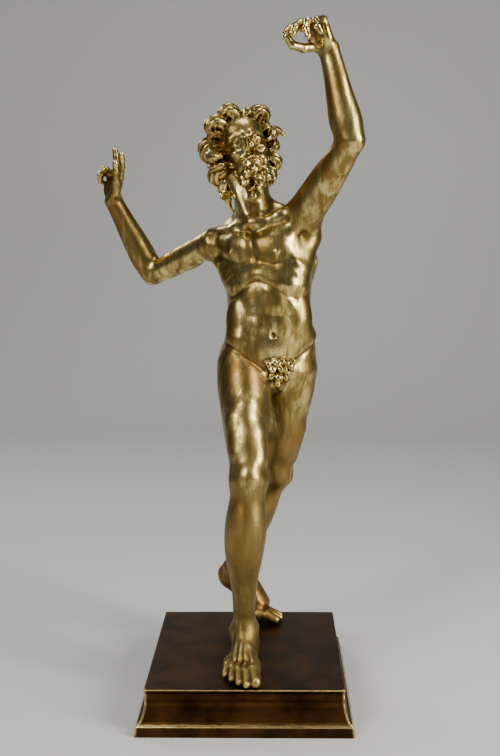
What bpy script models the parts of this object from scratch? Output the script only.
"""A cast bronze faun, dancing on one flat foot with both arms raised, on a moulded bronze plinth.

Metres, +Z up. The origin is under the middle of the plinth and the figure faces -Y.
The figure is described in shares of its own height: every length below that ends in no unit
is in steps of FIGURE_HEIGHT / 704, so the whole body follows that one size.
"""
import math

import bmesh
import bpy
import numpy as np
from mathutils import Vector
from mathutils.bvhtree import BVHTree

# Plinth, in metres
PLINTH_WIDTH = 0.216
PLINTH_DEPTH = 0.2365
PLINTH_HEIGHT = 0.049
PLINTH_SPREAD = 0.0092
PLINTH_TOP_BAND = 0.0025
PLINTH_RIDGE = 0.0125
PLINTH_HOLLOW_SEGMENTS = 8
PLINTH_UNDERCUT = 0.0016
PLINTH_EDGE_ROUND = 0.0007

# Figure, in metres
FIGURE_HEIGHT = 0.704
SEAT_GAP = 0.0003
BLOCK_VOXEL = 0.0028
CAST_VOXEL = 0.0020
FIT_TURNS = 7
FIT_STEP = 0.004
FIGURE_TRIANGLES = 9300
# Fewer faces cut across rounded forms; this much is given back along the normals
FULLNESS = 0.0004

# The figure's own unit, in metres
STEP = FIGURE_HEIGHT / 704.0
SEAT = PLINTH_HEIGHT + SEAT_GAP


# Small helpers for points and directions

def point(*values):
    return np.array(values, dtype=float)


def unit(vector):
    return np.asarray(vector, dtype=float) / np.linalg.norm(vector)


def mix(first, second, share):
    return np.asarray(first, dtype=float) * (1 - share) + np.asarray(second, dtype=float) * share


def frame_along(start, end, front):
    """Axes as columns: side, front and along, for a bone that runs from start to end."""
    along = unit(end - start)
    side = unit(np.cross(along, front))
    return np.stack([side, np.cross(side, along), along], axis=1)


def turned(yaw):
    """Front direction of a body part that is turned by yaw degrees towards +X."""
    return point(math.sin(math.radians(yaw)), -math.cos(math.radians(yaw)), 0)


def vary(seed, low, high):
    """A repeatable number between low and high that looks unordered."""
    wave = math.sin(seed * 12.9898 + 4.137) * 43758.5453
    return low + (high - low) * (wave - math.floor(wave))


# Masses: ellipsoids swept along a straight line, which the body is built up from

class Mass:
    def __init__(self, start, half, end=None, half_end=None, axes=None, blend=4.0, square=2.0):
        self.start = np.asarray(start, dtype=float)
        self.end = self.start if end is None else np.asarray(end, dtype=float)
        self.half = np.ones(3) * half
        self.half_end = self.half if half_end is None else np.ones(3) * half_end
        if axes is None and end is not None:
            front = point(0.31, -0.9, 0.29)
            axes = frame_along(self.start, self.end, front)
        self.axes = np.eye(3) if axes is None else axes
        self.blend = blend
        self.square = square

    def distance(self, points):
        line = self.end - self.start
        size = line @ line
        if size > 0:
            share = np.clip((points - self.start) @ line / size, 0, 1)[:, None]
        else:
            share = np.zeros((len(points), 1))
        offset = points - self.start - share * line
        half = self.half + share * (self.half_end - self.half)
        scaled = np.abs(offset @ self.axes) / half
        reach = (scaled ** self.square).sum(1) ** (1 / self.square)
        reach = np.maximum(reach, 1e-3)
        return np.linalg.norm(offset, axis=1) * (1 - 1 / reach)

    def box(self, margin):
        low = np.minimum(self.start - self.half.max(), self.end - self.half_end.max()) - margin
        high = np.maximum(self.start + self.half.max(), self.end + self.half_end.max()) + margin
        return low, high

    def add_block(self, mesh):
        """Adds the mass to a bmesh as a stretched ball."""
        ball = bmesh.ops.create_icosphere(mesh, subdivisions=2, radius=1.0)
        for vert in ball["verts"]:
            ahead = vert.co.z > 1e-6
            centre = self.end if ahead else self.start
            half = self.half_end if ahead else self.half
            direction = np.array(vert.co)
            if self.square > 2:
                direction = direction / (np.abs(direction) ** self.square).sum() ** (1 / self.square)
            vert.co = Vector(centre + self.axes @ (direction * half))


def chain(rows, axes_of, pieces=3, square=2.0):
    """Masses along a smooth line through rows of (centre, half width, half depth)."""
    centres = np.array([row[0] for row in rows], dtype=float)
    halves = np.array([row[1:] for row in rows], dtype=float)
    count = len(rows)
    stops = np.linspace(0, count - 1, (count - 1) * pieces + 1)

    def smooth(values, at):
        index = min(int(at), count - 2)
        t = at - index
        before = values[max(index - 1, 0)]
        after = values[min(index + 2, count - 1)]
        first, second = values[index], values[index + 1]
        slope_first = (second - before) / 2
        slope_second = (after - first) / 2
        return ((2 * t ** 3 - 3 * t ** 2 + 1) * first + (t ** 3 - 2 * t ** 2 + t) * slope_first
                + (3 * t ** 2 - 2 * t ** 3) * second + (t ** 3 - t ** 2) * slope_second)

    masses = []
    for low, high in zip(stops[:-1], stops[1:]):
        start, end = smooth(centres, low), smooth(centres, high)
        wide, wide_end = smooth(halves, low), smooth(halves, high)
        axes = axes_of((low + high) / 2 / (count - 1), start, end)
        thin = min(wide.min(), wide_end.min())
        half = point(wide[0], wide[1], thin * 0.6)
        half_end = point(wide_end[0], wide_end[1], thin * 0.6)
        masses.append(Mass(start, half, end, half_end, axes, 0.5, square))
    return masses


def field(groups, points):
    """Signed distance to the body: each group melts into itself, then into the groups before it.

    The points are put in order of height, so that a mass only looks at those on its own level.
    """
    order = np.argsort(points[:, 2])
    points = points[order]
    total = np.full(len(points), 1e3)
    for joint_blend, masses in groups:
        own = np.full(len(points), 1e3)
        for mass in masses:
            low, high = mass.box(22.0)
            first, last = np.searchsorted(points[:, 2], (low[2], high[2]))
            level = points[first:last]
            near = first + np.flatnonzero((level[:, 0] > low[0]) & (level[:, 0] < high[0])
                                          & (level[:, 1] > low[1]) & (level[:, 1] < high[1]))
            if len(near):
                own[near] = melt(own[near], mass.distance(points[near]), mass.blend)
        total = melt(total, own, joint_blend)
    unordered = np.empty_like(total)
    unordered[order] = total
    return unordered


def melt(first, second, blend):
    """Smooth union of two signed distances."""
    overlap = np.maximum(blend - np.abs(first - second), 0) / blend
    return np.minimum(first, second) - overlap ** 2 * blend / 4


# Skeleton of the pose: where the joints are, from the middle of the plinth's top

HIP_R, KNEE_R, ANKLE_R = point(-3, 12, 332), point(5, -57, 213), point(-2, -36, 36)
HIP_L, KNEE_L, ANKLE_L = point(51, 27, 329), point(34, 60, 194), point(-16, 106, 61)
NECK_LOW, HEAD = point(12, 25, 500), point(0.5, 25, 569)
NOTCH = point(11, 4, 492)
SHOULDER_R, ELBOW_R, WRIST_R = point(-36, 44, 471), point(-113.5, 93, 433), point(-159, 86, 523)
SHOULDER_L, ELBOW_L, WRIST_L = point(66, 7, 500), point(116, -45, 577), point(91, -40, 672)

# Trunk from the crotch to the neck: height, centre across, centre in depth, half width, half depth
TRUNK = ((316, 24, 23, 49, 29), (340, 27, 21, 54, 33), (366, 28, 16, 50.5, 31.5),
         (392, 27.5, 14, 47, 30.5), (418, 27, 17, 48.5, 33), (442, 26, 22, 52, 36),
         (462, 22.5, 27, 50, 35), (479, 17, 30, 42, 28), (492, 13, 30, 27, 20))
TRUNK_SQUARE = 2.35
PELVIS_YAW, CHEST_YAW = 12.0, -20.0
YAW_FROM, YAW_TO = 345.0, 440.0


def trunk_at(height):
    rows = np.array(TRUNK)
    values = [np.interp(height, rows[:, 0], rows[:, column]) for column in range(1, 5)]
    share = min(max((height - YAW_FROM) / (YAW_TO - YAW_FROM), 0), 1)
    yaw = PELVIS_YAW + (CHEST_YAW - PELVIS_YAW) * (3 * share ** 2 - 2 * share ** 3)
    return point(values[0], values[1], height), values[2], values[3], yaw


def trunk_skin(height, across, back=False, out=0.0):
    """A point of the trunk's surface, with its axes. across runs from -1 to 1 over the width."""
    centre, wide, deep, yaw = trunk_at(height)
    front = turned(yaw)
    side = np.cross(point(0, 0, 1), front)
    facing = -1 if back else 1
    rest = (1 - abs(across) ** TRUNK_SQUARE) ** (1 / TRUNK_SQUARE)
    place = centre + side * across * wide + front * facing * rest * deep
    slope = TRUNK_SQUARE - 1
    normal = (side * np.sign(across) * abs(across) ** slope / wide
              + front * facing * rest ** slope / deep)
    normal = unit(normal)
    axes = np.stack([np.cross(point(0, 0, 1), normal), normal, point(0, 0, 1)], axis=1)
    return place + normal * out, axes


def pad(height, across, wide, thick, tall, back=False, sink=0.0, blend=6.0, lean=0.0):
    """A flat muscle on the trunk; lean turns it in the skin's plane, in degrees."""
    place, axes = trunk_skin(height, across, back, -sink)
    turn = math.radians(lean)
    side, normal, up = axes[:, 0], axes[:, 1], axes[:, 2]
    axes = np.stack([side * math.cos(turn) + up * math.sin(turn), normal,
                     up * math.cos(turn) - side * math.sin(turn)], axis=1)
    return Mass(place, point(wide, thick, tall), axes=axes, blend=blend)


def band(start, end, thick, half, half_end=None, back=False, blend=6.0):
    """A muscle that runs over the trunk from start to end, each a (height, across)."""
    first, axes = trunk_skin(*start, back, -thick * 0.35)
    last, _ = trunk_skin(*end, back, -thick * 0.35)
    axes = frame_along(first, last, axes[:, 1])
    half_end = half if half_end is None else half_end
    return Mass(first, point(half, thick, half), last, point(half_end, thick, half_end), axes, blend)


def trunk():
    rows = [(trunk_at(row[0])[0], row[3], row[4]) for row in TRUNK]

    def axes_of(share, start, end):
        front = turned(trunk_at((start[2] + end[2]) / 2)[3])
        return frame_along(start, end, front)

    masses = chain(rows, axes_of, 3, TRUNK_SQUARE)
    # Chest: each breast muscle is a broad pad with a strap up to the arm
    for sign, shoulder in ((-1, SHOULDER_R), (1, SHOULDER_L)):
        masses.append(pad(464, 0.40 * sign, 22, 8.5, 15.5, sink=3.2, blend=6.5, lean=-10 * sign))
        breast, axes = trunk_skin(468, 0.55 * sign, out=-4)
        arm_side = shoulder + point(-4 * sign, -7, -4)
        strap = frame_along(breast, arm_side, axes[:, 1])
        masses.append(Mass(breast, point(13, 8, 9), arm_side, point(9, 8, 9), strap, 7.0))
    # Belly: two columns of three pads, the lower belly, and the pad over each hip bone
    for sign in (-1, 1):
        for height, across, wide, thick, tall in ((417, 0.25, 14, 3.0, 11), (400, 0.26, 14, 2.6, 12),
                                                  (378, 0.26, 14, 2.6, 12)):
            masses.append(pad(height, across * sign, wide, thick, tall, sink=1.2, blend=12.0))
        masses.append(pad(364, 0.80 * sign, 13, 6.5, 10, sink=1.8, blend=9.0, lean=18 * sign))
        masses.append(pad(386, 0.80 * sign, 12, 5.5, 19, sink=2.2, blend=10.0))
        # Edge of the ribs and the saw-tooth muscles beside them
        masses.append(band((435, 0.10 * sign), (424, 0.62 * sign), 5.0, 7.0, 9.0, blend=8.0))
        for number in range(3):
            height = 444 - 10 * number
            masses.append(pad(height, (0.90 - 0.05 * number) * sign, 10, 4.0, 5.2, sink=1.4, blend=5.0,
                              lean=-38 * sign))
    masses.append(pad(354, 0.0, 25, 5.5, 15, sink=1.8, blend=10.0))
    masses.append(pad(334, 0.05, 17, 8, 10, sink=1.0, blend=7.0))
    # Back: the long muscles beside the spine, shoulder blades, broad muscles and hood muscle
    for sign in (-1, 1):
        masses.append(band((350, 0.24 * sign), (448, 0.25 * sign), 5.5, 10, 11, back=True, blend=11.0))
        masses.append(pad(462, 0.52 * sign, 19, 6.5, 21, back=True, sink=2.0, blend=12.0, lean=14 * sign))
        masses.append(band((402, 0.62 * sign), (448, 0.80 * sign), 6, 10, 15, back=True, blend=8.0))
        masses.append(pad(346, 0.66 * sign, 17, 7, 15, back=True, sink=1.5, blend=11.0))
    for shoulder in (SHOULDER_R, SHOULDER_L):
        start = NECK_LOW + point(0, 10, 14)
        masses.append(Mass(start, 11, mix(NECK_LOW, shoulder, 0.75) + point(0, 8, 0), 10, blend=12.0))
    # Side of the chest under each arm
    flank_r, _ = trunk_skin(428, -0.93, out=-8)
    flank_l, _ = trunk_skin(424, 0.93, out=-8)
    masses.append(Mass(flank_r, 9, SHOULDER_R + point(3, 5, -10), 11, blend=9.0))
    masses.append(Mass(flank_l, 9, SHOULDER_L + point(6, 10, -24), 13, blend=9.0))
    masses.append(Mass(SHOULDER_L + point(6, 10, -24), 13, SHOULDER_L + point(6, 6, -2), 14, blend=9.0))
    # Collar bones
    for sign, shoulder in ((-1, SHOULDER_R), (1, SHOULDER_L)):
        start = NOTCH + point(4.5 * sign, -0.5, 0)
        end = shoulder + point(-6 * sign, -4, 11)
        middle = mix(start, end, 0.5) + point(0, -2.0, -1.5)
        masses.append(Mass(start, 3.6, middle, 3.4, blend=10.0))
        masses.append(Mass(middle, 3.4, end, 3.8, blend=12.0))
    # Seat
    masses.append(Mass(HIP_R + point(-3, 21, -6), point(25, 24, 28), blend=13.0))
    masses.append(Mass(HIP_L + point(1, 19, -4), point(25, 23, 28), blend=13.0))
    # Short tail over the seat
    root, _ = trunk_skin(348, 0.0, back=True, out=2)
    masses.append(Mass(root, 5.0, root + point(3, 10, -3), 4.6, blend=4.0))
    masses.append(Mass(root + point(3, 10, -3), 4.6, root + point(8, 15, -17), 3.4, blend=2.0))
    masses.append(Mass(root + point(8, 15, -17), 3.4, root + point(6, 19, -28), 1.8, blend=2.0))
    return masses


def limb(start, end, front, rows, pieces=3):
    """A limb from start to end. Rows are (share, half width, half depth, shift aside, shift front)."""
    axes = frame_along(start, end, front)
    stations = []
    for share, wide, deep, aside, ahead in rows:
        centre = mix(start, end, share) + axes[:, 0] * aside + axes[:, 1] * ahead
        stations.append((centre, wide, deep))
    return chain(stations, lambda share, low, high: axes, pieces)


# Girths along the legs: share of the bone, half width, half depth, shift aside, shift to the front
THIGH_R = ((0.0, 27.5, 28, -1, -4), (0.16, 30, 32, 0, -1), (0.38, 28.5, 31, 1, 2), (0.62, 24.5, 27, 0, 2),
           (0.84, 20.6, 21.5, 0, 0), (1.0, 17.5, 17, 0, 0))
SHANK_R = ((0.0, 17.5, 17, 0, 0), (0.10, 18.8, 19, -1, -1), (0.28, 23, 24, -2, -5), (0.46, 21.5, 22, -3, -4),
           (0.66, 15.5, 17, -2, -1), (0.82, 12.8, 14, -1, 0), (1.0, 12.8, 14.5, 0, 0))
THIGH_L = ((0.0, 29, 28, 1, -4), (0.18, 30.5, 31, 1, -1), (0.40, 28, 29, 1, 1), (0.64, 24, 26, 0, 1),
           (0.86, 20.6, 21, 0, 0), (1.0, 17.5, 17, 0, 0))
SHANK_L = ((0.0, 17.5, 17, 0, 0), (0.12, 18, 19, -3, -1), (0.30, 20, 24, -5, -5), (0.48, 19.5, 22.5, -4, -4),
           (0.70, 15, 17, -1, -1), (0.86, 12.4, 14, 0, 0), (1.0, 12, 14, 0, 0))


def leg(sign, hip, knee, ankle, thigh, shank, yaw, joint):
    """Thigh, shank and their muscles as three groups; joint is how softly the thigh joins the trunk."""
    front = turned(yaw)
    up = unit(hip - knee)
    down = unit(ankle - knee)
    side = unit(np.cross(up, front)) * sign
    ahead = np.cross(up, side) * -sign
    back = -unit(np.cross(side * sign, -down))
    back = back if back @ ahead < 0 else -back
    # Kneecap, the teardrop muscle inside it, the long ones outside and over it
    masses = [Mass(knee + ahead * 14.5 + up * 4, point(10.5, 7.5, 11), axes=frame_along(knee, hip, front),
                   blend=7.0),
              Mass(knee + ahead * 9.5 - side * 9.5 + up * 21, 10,
                   knee + ahead * 13 - side * 8 + up * 48, 12, blend=9.0),
              Mass(knee + ahead * 11 + side * 10 + up * 30, 9,
                   knee + ahead * 14 + side * 11 + up * 66, 13, blend=9.0),
              Mass(knee + ahead * 15 + up * 40, 10, knee + ahead * 16 + up * 78, 13, blend=9.0)]
    # Calf: the inner head hangs lower than the outer one
    masses += [Mass(knee + back * 9 - side * 7.5 + down * 22, 8,
                    knee + back * 12 - side * 7.5 + down * 64, 11, blend=12.0),
               Mass(knee + back * 9 + side * 7.5 + down * 20, 8,
                    knee + back * 11 + side * 8 + down * 54, 10.5, blend=12.0)]
    # Shin bone and ankle bones
    masses += [Mass(knee + ahead * 12 + down * 16, 6, ankle + ahead * 8 - down * 24, 5, blend=8.0),
               Mass(ankle - side * 8.8 - down * 3, 5.2, blend=6.0),
               Mass(ankle + side * 8.8 + down * 2, 5.0, blend=6.0)]
    return [(joint, limb(hip, knee, -front, thigh)), (18.0, limb(knee, ankle, -front, shank)), (9.0, masses)]


def toe(root, tip, radius, rise=2.5):
    """A toe with a raised middle joint."""
    middle = mix(root, tip, 0.52) + point(0, 0, rise)
    return [Mass(root, radius * 0.95, middle, radius, blend=2.0),
            Mass(middle, radius, tip, radius * 0.86, blend=1.5)]


# How high the middle joint of a standing toe stands over its bone
FOOT_TOE_RISE = 3.4


def foot_right():
    ankle = ANKLE_R
    heel = point(2, -20, 13)
    masses = [Mass(heel, point(13, 15, 13), blend=5.0),
              Mass(ankle + point(0, 11, -2), 9, heel + point(0, 8, 4), 9.5, blend=10.0),
              Mass(ankle + point(0, -2, -6), 13, point(0, -42, 15), 14, blend=10.0),
              Mass(ankle + point(0, -8, -6), point(12, 10, 11), point(-3, -70, 13), point(14.5, 9.5, 10),
                   frame_along(point(0, -40, 30), point(-3, -70, 14), point(0, 0, 1)), 9.0),
              Mass(point(0, -30, 8), 9, point(-17, -63, 7.5), 7.5, blend=7.0),
              Mass(point(3, -34, 10), 8, point(8, -80, 8.5), 9, blend=6.0),
              Mass(point(8, -76, 8), 8.0, point(-16, -63, 7), 6.5, blend=5.0)]
    roots = [point(8, -80, 9.5), point(0, -80, 11), point(-7, -75, 10.5), point(-13, -68, 9.5),
             point(-18, -60, 8)]
    tips = [point(12, -113, 6.8), point(2.0, -115, 4.7), point(-6.5, -109, 4.5), point(-14.5, -101, 4.3),
            point(-22, -90, 4.1)]
    radii = (7.2, 4.7, 4.5, 4.3, 4.1)
    for root, tip, radius in zip(roots, tips, radii):
        masses += toe(root, tip, radius, FOOT_TOE_RISE)
    return masses


def foot_left():
    ankle = ANKLE_L
    heel = point(-26, 113, 48)
    ball = point(12, 91, 15)
    masses = [Mass(heel, point(12.5, 12.5, 14), blend=5.0),
              Mass(ankle + point(-5, 4, 4), 9, heel + point(-2, 2, 6), 9.5, blend=8.0),
              Mass(ankle + point(2, -2, -8), 13, mix(heel, ball, 0.35) + point(3, 0, 5), 13, blend=7.0),
              Mass(mix(ankle, ball, 0.25) + point(5, 0, 4), point(13, 11, 11), ball + point(5, 2, 6),
                   point(17, 9.5, 9), frame_along(ankle, ball, point(0.6, 0, 0.8)), 6.0),
              Mass(heel + point(6, -4, -6), 9.5, ball + point(-2, 9, -4), 8, blend=7.0),
              Mass(ball + point(0, -13, -3.5), 8.5, ball + point(2, 10, -5), 7, blend=5.0)]
    roots = [point(10, 79, 12), point(13, 86, 12), point(14, 92, 11.5), point(12, 98, 10.5), point(9, 103, 9)]
    tips = [point(34, 72, 6), point(39.5, 83, 4.9), point(39.5, 93, 4.6), point(35.5, 102, 4.3),
            point(29, 109, 4)]
    radii = (6.1, 4.3, 4.1, 3.9, 3.8)
    for root, tip, radius in zip(roots, tips, radii):
        masses += toe(root, tip, radius)
    return masses


# Girths along the arms: share of the bone, half width, half depth, shift aside, shift to the front
UPPER_ARM_R = ((0.0, 16.5, 17, 0, 0), (0.22, 15.2, 16, 0, 0), (0.50, 13.6, 14.4, 0, 0),
               (0.78, 13.4, 13.4, 0, 0), (1.0, 13.0, 12.4, 0, 0))
FOREARM_R = ((0.0, 13.0, 12.6, 0, 0), (0.22, 16.0, 14.0, 0, 0), (0.50, 14.4, 12, 0, 0),
             (0.78, 11.8, 9.6, 0, 0), (1.0, 10.6, 7.8, 0, 0))
UPPER_ARM_L = ((0.0, 20.5, 19.5, 0, 0), (0.25, 20, 19, 0, 0), (0.52, 18.2, 17, 0, 0), (0.80, 15.5, 15, 0, 0),
               (1.0, 13.8, 13.4, 0, 0))
FOREARM_L = ((0.0, 14.2, 13.2, -1, 0), (0.20, 17.6, 15, -1.5, 0), (0.48, 14.8, 12.6, -1, 0),
             (0.76, 12.2, 9.6, 0, 0), (1.0, 11.0, 8.0, 0, 0))


def arm(shoulder, elbow, wrist, upper, fore, front, joint):
    """Upper arm, forearm and their muscles as three groups."""
    inside = unit(unit(shoulder - elbow) + unit(wrist - elbow))
    # Two-headed muscle inside the bend, three-headed muscle and the elbow's point outside it
    masses = [Mass(mix(shoulder, elbow, 0.34) + inside * 4, 10,
                   mix(shoulder, elbow, 0.70) + inside * 4, 9, blend=7.0),
              Mass(mix(shoulder, elbow, 0.32) - inside * 7, 11.5,
                   mix(shoulder, elbow, 0.74) - inside * 5, 10, blend=8.0),
              Mass(elbow - inside * 7, 6.2, blend=5.0),
              Mass(mix(elbow, wrist, 0.12) + inside * 5, 8.5,
                   mix(elbow, wrist, 0.42) + inside * 2.5, 7, blend=6.0),
              Mass(mix(shoulder, elbow, 0.52) + inside * 5, 9.5, blend=6.0)]
    return [(joint, limb(shoulder, elbow, front, upper)), (9.0, limb(elbow, wrist, front, fore)),
            (6.0, masses)]


def finger(root, direction, bend_axis, lengths, bends, radius):
    """Three bones that bend one after another about bend_axis, by angles in degrees."""
    masses = []
    place = np.asarray(root, dtype=float)
    heading = unit(direction)
    axis = unit(bend_axis)
    for number, (length, bend) in enumerate(zip(lengths, bends)):
        angle = math.radians(bend)
        heading = (heading * math.cos(angle) + np.cross(axis, heading) * math.sin(angle)
                   + axis * (axis @ heading) * (1 - math.cos(angle)))
        after = place + heading * length
        thick = radius * (1 - 0.10 * number)
        masses.append(Mass(place, thick, after, thick * 0.92, blend=1.6))
        place = after
    return masses


def hand(wrist, along, palm, sign, bends, spreads, thumb_turn, thumb_bends, size):
    """A hand: along runs from the wrist to the knuckles, palm is the way the palm faces.

    bends holds the three bends of each finger and spreads its turn aside, from the first finger
    to the little one; thumb_turn holds the thumb's turn aside and its lift towards the palm.
    """
    along = unit(along)
    across = unit(np.cross(along, palm)) * sign
    palm = unit(np.cross(across, along)) * sign
    knuckles = wrist + along * 27 * size
    axes = np.stack([across, palm, along], axis=1)
    masses = [Mass(wrist + along * 3 * size, point(9.5, 7, 8) * size, knuckles - along * 3 * size,
                   point(15.5, 6, 6) * size, axes, 4.0, 2.3)]
    for reach, thick in ((8, 6), (-8, 5)):
        heel = wrist + along * 7 * size + across * reach * size + palm * 3 * size
        masses.append(Mass(heel, thick * size, heel + (along * 9 + across * reach * 0.25) * size,
                           thick * 0.9 * size, blend=4.0))
    rows = zip(((13.5, 9, 7.5), (14.5, 10, 8), (13.5, 9.5, 7.5), (10.5, 7, 6.5)), (4.3, 4.5, 4.3, 3.9),
               bends, spreads)
    for number, (lengths, radius, bend, spread) in enumerate(rows):
        place = 1 - number * 2 / 3
        root = knuckles + (across * place * 11.3 - along * abs(place) * 1.5) * size
        heading = along + across * math.tan(math.radians(spread))
        masses += finger(root, heading, across * sign, [part * size for part in lengths], bend, radius * size)
    turn, lift = (math.radians(value) for value in thumb_turn)
    heading = (along * math.cos(turn) + across * math.sin(turn)) * math.cos(lift) + palm * math.sin(lift)
    hinge = np.cross(heading, along + palm * 0.3)
    root = wrist + (along * 8 + across * 10 + palm * 3) * size
    masses += finger(root, heading, hinge, [part * size for part in (14.5, 13, 10)], thumb_bends, 5.0 * size)
    return masses


# Head: thrown back, turned to its left and tipped. Lengths are shares of the head's height
HEAD_HEIGHT = 84.0
HEAD_BACK, HEAD_TURN, HEAD_ROLL = 25.0, 9.0, 13.0


def head_axes():
    back, turn, roll = (math.radians(value) for value in (HEAD_BACK, HEAD_TURN, HEAD_ROLL))
    front = point(math.sin(turn) * math.cos(back), -math.cos(turn) * math.cos(back), math.sin(back))
    side = unit(np.cross(point(0, 0, 1), front))
    up = np.cross(front, side)
    side, up = side * math.cos(roll) + up * math.sin(roll), up * math.cos(roll) - side * math.sin(roll)
    return np.stack([side, front, up], axis=1)


def in_head(aside, ahead, upward):
    return HEAD + head_axes() @ point(aside, ahead, upward) * HEAD_HEIGHT


def head_mass(place, half, end=None, half_end=None, blend=0.03, square=2.0):
    """A mass in the head's own axes, in shares of the head's height."""
    axes = head_axes()
    half = np.ones(3) * half * HEAD_HEIGHT
    half_end = None if half_end is None else np.ones(3) * half_end * HEAD_HEIGHT
    end = None if end is None else in_head(*end)
    return Mass(in_head(*place), half, end, half_end, axes, blend * HEAD_HEIGHT, square)


def head():
    masses = [head_mass((0, -0.03, 0.13), point(0.325, 0.41, 0.36)),
              head_mass((0, 0.10, 0.00), point(0.268, 0.242, 0.30),
                        (0, 0.12, -0.24), point(0.215, 0.22, 0.20), 0.08, 2.2),
              head_mass((0, 0.23, -0.41), point(0.105, 0.085, 0.085), blend=0.09),
              head_mass((0, 0.30, 0.22), point(0.22, 0.10, 0.16), blend=0.10),
              head_mass((0, 0.285, -0.275), point(0.125, 0.095, 0.09), blend=0.07)]
    for sign in (-1, 1):
        masses += [head_mass((0.050 * sign, 0.374, 0.078), 0.036, (0.205 * sign, 0.306, 0.078), 0.036, 0.04),
                   head_mass((0.180 * sign, 0.262, -0.115), point(0.075, 0.07, 0.055), blend=0.06),
                   head_mass((0.143 * sign, 0.285, -0.002), point(0.066, 0.062, 0.058), blend=0.012),
                   head_mass((0.040 * sign, 0.400, -0.152), point(0.034, 0.040, 0.032), blend=0.045),
                   head_mass((0.31 * sign, -0.02, -0.06), point(0.03, 0.055, 0.10), blend=0.02),
                   head_mass((0.32 * sign, -0.03, 0.02), point(0.03, 0.05, 0.05),
                             (0.38 * sign, -0.09, 0.12), point(0.012, 0.015, 0.02), 0.02)]
    masses += [head_mass((0, 0.372, 0.03), point(0.034, 0.04, 0.03), (0, 0.462, -0.13),
                         point(0.046, 0.042, 0.040), 0.035),
               head_mass((-0.07, 0.352, -0.262), 0.021, (0, 0.385, -0.252), 0.025, 0.012),
               head_mass((0.07, 0.352, -0.262), 0.021, (0, 0.385, -0.252), 0.025, 0.012),
               head_mass((-0.055, 0.350, -0.308), 0.024, (0.055, 0.350, -0.308), 0.024, 0.012)]
    return masses


def neck():
    low = NECK_LOW + point(0, 3, -6)
    skull = in_head(0, -0.10, -0.16)
    masses = [Mass(low, point(21, 20, 16), skull, point(19, 20, 18), blend=8.0),
              Mass(NECK_LOW + point(0, 10, 0), 14, in_head(0, -0.28, -0.02), 15, blend=8.0),
              Mass(mix(NOTCH, in_head(0, 0.1, -0.36), 0.55) + point(0, 2, 0), 5.0, blend=5.0)]
    for sign in (-1, 1):
        behind_ear = in_head(0.26 * sign, -0.14, -0.12)
        masses.append(Mass(NOTCH + point(4 * sign, 2, 2), 3.6, behind_ear, 6.4, blend=10.0))
    return masses


def loins():
    """The small soft parts under the belly."""
    place, _ = trunk_skin(322, 0.10, out=1)
    return [Mass(place + point(2, -2, -10), point(6.5, 6.5, 7.5), blend=3.0),
            Mass(place + point(-4, -2, -9), point(6, 6.5, 7), blend=2.0),
            Mass(place + point(0, -5, 2), 4.4, place + point(1, -10, -9), 3.8, blend=1.5),
            Mass(place + point(0, 0, 2), point(15, 6, 9), blend=6.0)]


def main_groups():
    """Trunk, head, arms and the standing leg, each with how softly it joins the ones before it."""
    right_hand = hand(WRIST_R, point(0.17, -0.12, 1), point(-0.76, -0.64, 0.0), 1,
                      ((4, 8, 6), (2, 6, 4), (60, 80, 50), (70, 84, 55)), (8, -12, -4, -4),
                      (14, 14), (0, 4, 4), 1.0)
    left_hand = hand(WRIST_L, point(-0.50, -0.05, 0.865), point(-0.70, -0.66, -0.26), -1,
                     ((52, 32, 18), (62, 38, 20), (74, 52, 30), (82, 62, 34)), (6, 1, -3, -7),
                     (40, 72), (0, 24, 44), 1.07)
    groups = [(1.0, trunk()), (9.0, neck()), (2.5, head())]
    groups += arm(SHOULDER_R, ELBOW_R, WRIST_R, UPPER_ARM_R, FOREARM_R, point(0.3, -0.9, 0.2), 10.0)
    groups += arm(SHOULDER_L, ELBOW_L, WRIST_L, UPPER_ARM_L, FOREARM_L, point(-0.2, -0.9, 0.3), 10.0)
    groups += [(7.0, right_hand), (7.0, left_hand)]
    groups += leg(-1, HIP_R, KNEE_R, ANKLE_R, THIGH_R, SHANK_R, 4, 12.0)
    return groups + [(11.0, foot_right()), (2.0, loins())]


# Heights between which the two thighs melt together
CROTCH_BLEND_HEIGHTS = (296, 318)


def trailing_leg_groups():
    return leg(1, HIP_L, KNEE_L, ANKLE_L, THIGH_L, SHANK_L, 16, 1.0) + [(9.0, foot_left())]


def body_field(main, trailing, points):
    """The trailing leg joins the trunk softly, but stays apart from the other thigh lower down."""
    blend = np.interp(points[:, 2], CROTCH_BLEND_HEIGHTS, (1.0, 9.0))
    return melt(field(main, points), field(trailing, points), blend)


# Locks of hair: lobed tubes that leave the skin, follow a flow and curl up

LOCK_STEPS = 12
# How far outside the head's middle the search for a lock's root starts, in head heights
ROOT_REACH = 0.62


def lock_path(root, outward, flow, length, curl, lift):
    """Points and widths of one lock. curl is its whole bend in degrees, lift where it starts."""
    outward = unit(outward)
    flow = unit(flow - outward * (flow @ outward))
    place = np.asarray(root, dtype=float) - outward * 3.0
    places = [place]
    widths = [1.0]
    for number in range(LOCK_STEPS):
        share = (number + 0.5) / LOCK_STEPS
        angle = math.radians(lift + curl * share ** 1.35)
        heading = outward * math.cos(angle) + flow * math.sin(angle)
        place = place + heading * length / LOCK_STEPS
        places.append(place)
        widths.append(0.70 + 0.46 * math.sin(math.pi * min(share * 1.10 + 0.10, 1)) - 0.50 * share ** 3)
    return places, widths


def lock_core(places, widths):
    """A plug inside the curl, which closes it as clay would."""
    start = len(places) // 3
    places, widths = np.array(places[start:]), np.array(widths[start:])
    return places.mean(0) + (places - places.mean(0)) * 0.45, widths * 0.85


def skin_root(tree, centre, way):
    """The head's skin that is met from just outside, on the way towards a centre."""
    return on_skin(tree, centre + unit(way) * ROOT_REACH * HEAD_HEIGHT, -way)


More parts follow.
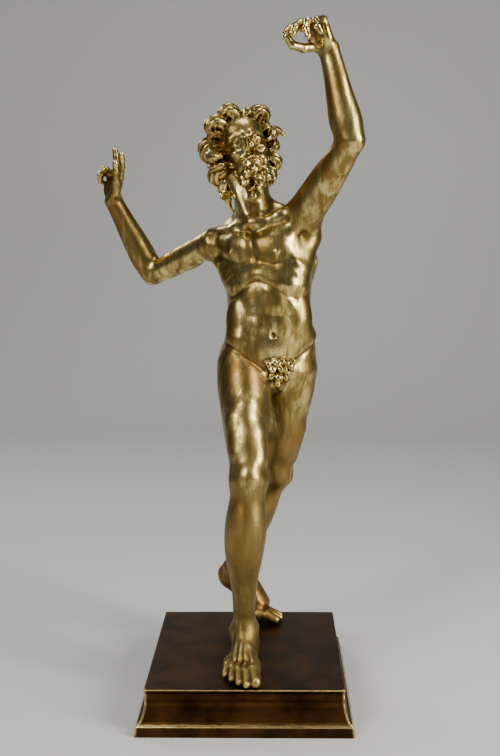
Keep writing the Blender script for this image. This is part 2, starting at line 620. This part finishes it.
def hair_locks(tree):
    """All locks of the head as (path, widths, thickness)."""
    axes = head_axes()
    side, front, up = axes[:, 0], axes[:, 1], axes[:, 2]
    centre = in_head(0, -0.06, 0.08)
    locks = []
    seed = 0
    for rise, count, bare, length in HAIR_ROWS:
        for number in range(count):
            seed += 1
            around = bare + (360 - 2 * bare) * (number + 0.5) / count + vary(seed, -4, 4)
            high = math.radians(rise + vary(seed + 0.4, -4, 4))
            turn = math.radians(around)
            way = (side * math.sin(turn) + front * math.cos(turn)) * math.cos(high) + up * math.sin(high)
            root = skin_root(tree, centre, way)
            swirl = 1 if vary(seed + 0.7, 0, 1) > 0.5 else -1
            aside = np.cross(up, way) * swirl
            flow = aside * vary(seed + 0.2, 0.5, 1.2) - up * 0.5 - front * 0.2
            span = length * vary(seed + 0.9, 0.80, 1.16) * (1.0 - 0.09 * (way @ side))
            places, widths = lock_path(root, way, flow, span, vary(seed + 0.3, 115, 260), 2)
            locks.append((places, widths, vary(seed + 0.6, 6.2, 7.6)))
    # A wreath of forelocks that rise from the brow's hairline and curl over to either side
    for around, rise, length, thickness, curl in FORELOCKS:
        turn, high = math.radians(around), math.radians(rise)
        way = (side * math.sin(turn) + front * math.cos(turn)) * math.cos(high) + up * math.sin(high)
        root = skin_root(tree, centre, way)
        sign = 1 if around > 0 else -1
        flow = side * sign - front * 0.1 - up * 0.2
        places, widths = lock_path(root, unit(way + up * 0.35), flow, length, curl, -14)
        locks.append((places, widths, thickness))
    root = in_head(-0.20, -0.30, -0.20)
    places, widths = lock_path(root, point(-0.75, 0.1, -0.65), point(0.3, 0.0, -1), 44, 100, 10)
    locks.append((places, widths, 4.3))
    return locks


# Rows of locks: rise above the ears' level in degrees, locks in the row, bare half angle round
# the face, length
HAIR_ROWS = ((84, 3, 0, 24), (62, 7, 24, 28), (40, 9, 66, 33), (18, 10, 62, 38), (-4, 9, 64, 41),
             (-24, 8, 72, 40), (-42, 6, 88, 34))
# Forelocks from the right ear round to the left one: angle round, rise, length, thickness, bend
FORELOCKS = ((-76, 20, 33, 6.4, 135), (-57, 30, 25, 6.2, 210), (-40, 39, 38, 8.6, 230),
             (-7, 49, 34, 9.2, 215), (14, 40, 20, 5.2, 200), (36, 41, 38, 8.2, 220),
             (50, 36, 27, 6.2, 120), (58, 24, 22, 5.8, 220), (76, 16, 34, 6.2, 130))
# Rows of the beard: height in head shares, locks in the row, half angle that it covers, length
BEARD_ROWS = ((-0.14, 2, 84, 15), (-0.25, 4, 82, 17), (-0.375, 7, 78, 17), (-0.46, 6, 66, 20))


def beard_locks(tree):
    axes = head_axes()
    side, front, up = axes[:, 0], axes[:, 1], axes[:, 2]
    locks = []
    seed = 200
    for height, count, cover, length in BEARD_ROWS:
        for number in range(count):
            seed += 1
            around = math.radians(cover * (2 * number / (count - 1) - 1))
            way = side * math.sin(around) + front * math.cos(around)
            root = skin_root(tree, in_head(0, 0.06, height), way)
            flow = -up + np.cross(up, way) * vary(seed, -1.0, 1.0)
            outward = unit(way - up * 0.35)
            places, widths = lock_path(root, outward, flow, length, vary(seed + 0.3, 190, 280), 5)
            locks.append((places, widths, vary(seed + 0.6, 3.4, 4.4)))
    for number in range(3):
        root = skin_root(tree, in_head(0.10 * (number - 1), 0.16, -0.40), -up)
        flow = side * (number - 1) - front * 0.3 + side * 0.3
        places, widths = lock_path(root, unit(front * 0.5 - up), flow, 22, 230, 0)
        locks.append((places, widths, 4.2))
    for sign in (-1, 1):
        root = skin_root(tree, in_head(0.03 * sign, 0.0, -0.222), front)
        outward = unit(side * sign * 0.7 + front * 0.75)
        places, widths = lock_path(root, outward, side * sign * 0.9 - up * 0.8, 17, 100, 50)
        locks.append((places, widths, 2.5))
    return locks


def loin_locks(tree):
    locks = []
    seed = 400
    for height, reach, count in ((340, 0.26, 6), (332, 0.20, 5), (324, 0.13, 4)):
        for number in range(count):
            seed += 1
            across = 0.09 + reach * (2 * number / (count - 1) - 1)
            start, frame = trunk_skin(height + vary(seed, -1.5, 1.5), across, out=45)
            normal = frame[:, 1]
            root = on_skin(tree, start, -normal)
            flow = frame[:, 0] * vary(seed + 0.3, -1, 1) - frame[:, 2]
            places, widths = lock_path(root, normal, flow, 14, vary(seed + 0.8, 220, 300), 0)
            locks.append((places, widths, 2.9))
    return locks


def add_locks(collection, name, locks, lobes=4, ring=12):
    """One curve object that holds every lock, with a lobed cross-section."""
    outline = bpy.data.curves.new(name + "_section", "CURVE")
    outline.dimensions = "2D"
    edge = outline.splines.new("POLY")
    edge.points.add(ring - 1)
    for number in range(ring):
        angle = 2 * math.pi * number / ring
        radius = 1 + 0.16 * math.cos(lobes * angle)
        x, y = radius * math.cos(angle), radius * 0.82 * math.sin(angle)
        edge.points[number].co = (x * STEP, y * STEP, 0, 1)
    edge.use_cyclic_u = True
    section = bpy.data.objects.new(name + "_section", outline)
    collection.objects.link(section)
    curve = bpy.data.curves.new(name, "CURVE")
    curve.dimensions = "3D"
    curve.bevel_mode = "OBJECT"
    curve.bevel_object = section
    curve.use_fill_caps = True
    for places, widths, thickness in locks:
        for path, girths in ((places, widths), lock_core(places, widths)):
            spline = curve.splines.new("POLY")
            spline.points.add(len(path) - 1)
            for item, place, girth in zip(spline.points, path, girths):
                item.co = (*to_world(place), 1)
                item.radius = max(girth, 0.18) * thickness
    made = bpy.data.objects.new(name, curve)
    collection.objects.link(made)
    return made, section


def to_world(place):
    return np.asarray(place) * STEP + point(0, 0, SEAT)


def to_figure(place):
    return (np.asarray(place) - point(0, 0, SEAT)) / STEP


# Mesh steps

def evaluated_mesh(made):
    graph = bpy.context.evaluated_depsgraph_get()
    graph.update()
    return bpy.data.meshes.new_from_object(made.evaluated_get(graph))


def with_modifier(mesh, kind, collection, **settings):
    """The mesh after one modifier, on an object that is then removed."""
    carrier = bpy.data.objects.new("carrier", mesh)
    collection.objects.link(carrier)
    modifier = carrier.modifiers.new(kind.lower(), kind)
    for key, value in settings.items():
        setattr(modifier, key, value)
    result = evaluated_mesh(carrier)
    bpy.data.objects.remove(carrier)
    return result


def outer_shell(mesh):
    """Keeps the one outer skin: closed bubbles between locks leave loose shells inside it."""
    shape = bmesh.new()
    shape.from_mesh(mesh)
    highest = max(shape.verts, key=lambda vert: vert.co.z)
    kept = {highest}
    edge_of_growth = [highest]
    while edge_of_growth:
        vert = edge_of_growth.pop()
        for edge in vert.link_edges:
            other = edge.other_vert(vert)
            if other not in kept:
                kept.add(other)
                edge_of_growth.append(other)
    inside = [vert for vert in shape.verts if vert not in kept]
    bmesh.ops.delete(shape, geom=inside, context="VERTS")
    shape.to_mesh(mesh)
    shape.free()


def coordinates(mesh):
    values = np.empty(len(mesh.vertices) * 3)
    mesh.vertices.foreach_get("co", values)
    return values.reshape(-1, 3)


def set_coordinates(mesh, values):
    mesh.vertices.foreach_set("co", np.asarray(values, dtype=np.float32).ravel())
    mesh.update()


def normals(mesh):
    values = np.empty(len(mesh.vertices) * 3)
    mesh.vertex_normals.foreach_get("vector", values)
    return values.reshape(-1, 3)


def relax(mesh, places, times, share=0.5):
    """Moves each vertex towards the middle of its neighbours."""
    pairs = np.empty(len(mesh.edges) * 2, dtype=np.int64)
    mesh.edges.foreach_get("vertices", pairs)
    first, second = pairs.reshape(-1, 2).T
    count = np.bincount(first, minlength=len(places)) + np.bincount(second, minlength=len(places))
    for _ in range(times):
        total = np.zeros_like(places)
        for axis in range(3):
            total[:, axis] = (np.bincount(first, places[second, axis], len(places))
                              + np.bincount(second, places[first, axis], len(places)))
        places = places + share * (total / count[:, None] - places)
    return places


def block_in(collection):
    """The masses as overlapping balls, made one skin and drawn on to the body's surface."""
    main, trailing = main_groups(), trailing_leg_groups()
    mesh = bmesh.new()
    for _, masses in main + trailing:
        for mass in masses:
            mass.add_block(mesh)
    bmesh.ops.scale(mesh, vec=Vector((STEP, STEP, STEP)), verts=mesh.verts)
    bmesh.ops.translate(mesh, vec=Vector((0, 0, SEAT)), verts=mesh.verts)
    blocks = bpy.data.meshes.new("blocks")
    mesh.to_mesh(blocks)
    mesh.free()
    skin = with_modifier(blocks, "REMESH", collection, mode="VOXEL", voxel_size=BLOCK_VOXEL)
    places = coordinates(skin)
    for turn in range(FIT_TURNS):
        set_coordinates(skin, places)
        outward = normals(skin)
        gap = body_field(main, trailing, to_figure(places)) * STEP
        places = places - outward * np.clip(gap, -FIT_STEP, FIT_STEP)[:, None] * 0.85
        if turn < FIT_TURNS - 2:
            places = relax(skin, places, 1, 0.35)
    set_coordinates(skin, places)
    return skin


# Carving: strokes that press into the skin or raise it

def surface_tree(mesh):
    shape = bmesh.new()
    shape.from_mesh(mesh)
    tree = BVHTree.FromBMesh(shape)
    shape.free()
    return tree


def on_skin(tree, start, towards):
    """Where a ray meets the skin, in figure steps; a ray that misses gives its start."""
    hit = tree.ray_cast(Vector(to_world(start)), Vector(unit(towards)))[0]
    return start if hit is None else to_figure(hit)


def trunk_spot(tree, height, across, back=False):
    place, axes = trunk_skin(height, across, back, 40)
    return on_skin(tree, place, -axes[:, 1])


def stroke(places, outward, route, width, depth):
    """Moves skin near a route by depth, which is below zero for a groove."""
    route = np.array(route, dtype=float)
    near = np.flatnonzero(((places > route.min(0) - 3 * width) & (places < route.max(0) + 3 * width)).all(1))
    if not len(near):
        return places
    here = places[near]
    best = np.full(len(near), 1e9)
    for start, end in zip(route[:-1], route[1:]):
        line = end - start
        share = np.clip((here - start) @ line / max(line @ line, 1e-9), 0, 1)[:, None]
        best = np.minimum(best, np.linalg.norm(here - start - share * line, axis=1))
    places = places.copy()
    places[near] += outward[near] * (depth * np.exp(-(best / width) ** 2))[:, None]
    return places


def trunk_route(tree, spots, back=False, pieces=5):
    route = []
    for (height, across), (next_height, next_across) in zip(spots[:-1], spots[1:]):
        for number in range(pieces):
            share = number / pieces
            route.append(trunk_spot(tree, height + (next_height - height) * share,
                                    across + (next_across - across) * share, back))
    route.append(trunk_spot(tree, *spots[-1], back))
    return route


# Grooves and ridges of the trunk: spots as (height, across), width, depth, and whether on the back
TRUNK_STROKES = (
    (((484, 0.0), (452, 0.0)), 4.6, -1.9, False),
    (((424, 0.0), (374, 0.0)), 5.4, -1.2, False),
    (((369, 0.0), (367, 0.0)), 2.6, -3.6, False),
    (((449, 0.18), (446, 0.40), (452, 0.72)), 3.8, -1.3, False),
    (((449, -0.18), (446, -0.40), (452, -0.72)), 3.8, -1.3, False),
    (((391, 0.10), (389, 0.44)), 4.2, -0.5, False),
    (((391, -0.10), (389, -0.44)), 4.2, -0.5, False),
    (((418, 0.52), (392, 0.54), (370, 0.50)), 5.0, -1.0, False),
    (((418, -0.52), (392, -0.54), (370, -0.50)), 5.0, -1.0, False),
    (((429, 0.04), (420, 0.36), (409, 0.74)), 3.4, -1.2, False),
    (((429, -0.04), (420, -0.36), (409, -0.74)), 3.4, -1.2, False),
    (((357, 0.93), (349, 0.72), (338, 0.44), (330, 0.26)), 3.0, -1.8, False),
    (((357, -0.93), (349, -0.72), (338, -0.44), (330, -0.26)), 3.0, -1.8, False),
    (((350, 0.0), (470, 0.0)), 5.0, -1.9, True),
    (((478, 0.26), (452, 0.30), (444, 0.62)), 4.5, -1.0, True),
    (((478, -0.26), (452, -0.30), (444, -0.62)), 4.5, -1.0, True),
    (((336, 0.0), (306, 0.02)), 3.6, -4.0, True),
)


def carve_body(mesh):
    tree = surface_tree(mesh)
    places = to_figure(coordinates(mesh))
    outward = normals(mesh)
    for spots, width, depth, back in TRUNK_STROKES:
        places = stroke(places, outward, trunk_route(tree, spots, back), width, depth)
    for height, across in ((460, 0.52), (460, -0.52)):
        spot = trunk_spot(tree, height, across)
        places = stroke(places, outward, [spot, spot], 2.0, 1.4)
    set_coordinates(mesh, to_world(places))


def figure(collection, scratch, material):
    skin = block_in(scratch)
    carve_body(skin)
    meshes = [skin]
    helpers = []
    tree = surface_tree(skin)
    all_locks = {"hair": hair_locks(tree), "beard": beard_locks(tree), "loins": loin_locks(tree)}
    for name, locks in all_locks.items():
        made, section = add_locks(scratch, name, locks)
        meshes.append(evaluated_mesh(made))
        helpers += [made, section]
    joined = bmesh.new()
    for mesh in meshes:
        joined.from_mesh(mesh)
    whole = bpy.data.meshes.new("whole")
    joined.to_mesh(whole)
    joined.free()
    for helper in helpers:
        bpy.data.objects.remove(helper)
    cast = with_modifier(whole, "REMESH", scratch, mode="VOXEL", voxel_size=CAST_VOXEL)
    outer_shell(cast)
    set_coordinates(cast, relax(cast, coordinates(cast), 2, 0.4))
    share = FIGURE_TRIANGLES / (2 * len(cast.polygons))
    lean = with_modifier(cast, "DECIMATE", scratch, ratio=share)
    places = coordinates(lean)
    low = places[:, 2] < SEAT + 0.0005
    places += normals(lean) * FULLNESS
    places[low, 2] = SEAT
    places[:, 2] = np.maximum(places[:, 2], SEAT)
    set_coordinates(lean, places)
    lean.name = "faun_figure"
    made = bpy.data.objects.new("faun_figure", lean)
    made.data.materials.clear()
    made.data.materials.append(material)
    collection.objects.link(made)
    return made


def plinth(collection, material):
    """A rectangle drawn up through the stations of its moulding."""
    stations = [(0.0, PLINTH_SPREAD), (PLINTH_RIDGE - 0.0012, PLINTH_SPREAD - 0.0006),
                (PLINTH_RIDGE, PLINTH_SPREAD - 0.0012)]
    top = PLINTH_HEIGHT - PLINTH_TOP_BAND
    for number in range(PLINTH_HOLLOW_SEGMENTS + 1):
        angle = math.pi / 2 * number / PLINTH_HOLLOW_SEGMENTS
        height = top - (top - PLINTH_RIDGE - 0.0014) * math.cos(angle)
        out = (PLINTH_SPREAD - 0.0024) * (1 - math.sin(angle)) - PLINTH_UNDERCUT * math.sin(angle)
        stations.append((height, out))
    stations += [(top + 0.0006, 0.0), (PLINTH_HEIGHT, 0.0)]
    shape = bmesh.new()
    corners = [(-0.5, -0.5), (0.5, -0.5), (0.5, 0.5), (-0.5, 0.5)]
    rings = []
    for height, spread in stations:
        wide, deep = PLINTH_WIDTH + 2 * spread, PLINTH_DEPTH + 2 * spread
        rings.append([shape.verts.new((x * wide, y * deep, height)) for x, y in corners])
    shape.faces.new(rings[0][::-1])
    for low, high in zip(rings[:-1], rings[1:]):
        for number in range(4):
            after = (number + 1) % 4
            shape.faces.new((low[number], low[after], high[after], high[number]))
    shape.faces.new(rings[-1])
    mesh = bpy.data.meshes.new("plinth")
    shape.to_mesh(mesh)
    shape.free()
    made = bpy.data.objects.new("plinth", mesh)
    made.data.materials.append(material)
    collection.objects.link(made)
    rounding = made.modifiers.new("edges", "BEVEL")
    rounding.width = PLINTH_EDGE_ROUND
    rounding.segments = 2
    rounding.limit_method = "ANGLE"
    rounding.angle_limit = math.radians(40)
    return made


def bronze(name, colour, roughness):
    made = bpy.data.materials.new(name)
    made.use_nodes = True
    shader = made.node_tree.nodes["Principled BSDF"]
    shader.inputs["Base Color"].default_value = (*colour, 1)
    shader.inputs["Metallic"].default_value = 1.0
    shader.inputs["Roughness"].default_value = roughness
    return made


def main():
    for item in list(bpy.data.objects):
        bpy.data.objects.remove(item)
    parts = bpy.data.collections.new("faun_statuette")
    scratch = bpy.data.collections.new("cutters")
    for group in (parts, scratch):
        bpy.context.scene.collection.children.link(group)
    figure(parts, scratch, bronze("polished_bronze", (0.62, 0.42, 0.17), 0.28))
    plinth(parts, bronze("brown_bronze", (0.20, 0.11, 0.045), 0.42))


main()
